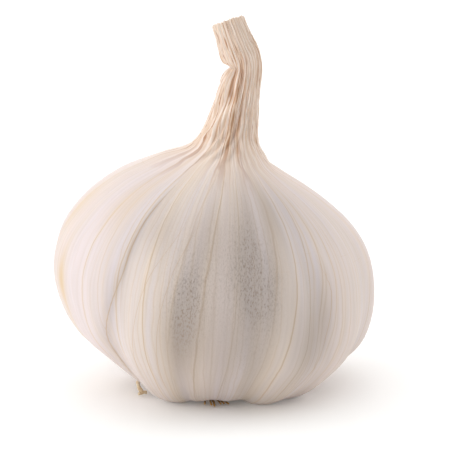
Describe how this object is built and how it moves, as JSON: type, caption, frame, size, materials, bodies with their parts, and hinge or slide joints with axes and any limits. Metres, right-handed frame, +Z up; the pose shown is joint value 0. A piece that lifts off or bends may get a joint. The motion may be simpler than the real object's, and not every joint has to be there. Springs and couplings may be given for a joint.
{
  "type": "garlic bulb",
  "caption": "Whole dry garlic bulb with a kinked, trimmed neck, standing on the feet of its cloves over a basal plate with dry roots.",
  "frame": {"origin": "on the surface the bulb rests on, under the middle of its bounding box", "axes": "+Z up along the height of the bulb, -Y towards its front; the neck leans to +X before its kink and to -X above it"},
  "size_m": [0.0604, 0.0609, 0.0704],
  "materials": {
    "wrapper_skin": "dry papery skin, silky satin",
    "dry_root": "matt, dry and fibrous"
  },
  "bodies": {
    "root": {"bulb": "wrapper_skin", "root_plate": "dry_root"}
  },
  "joints": []
}
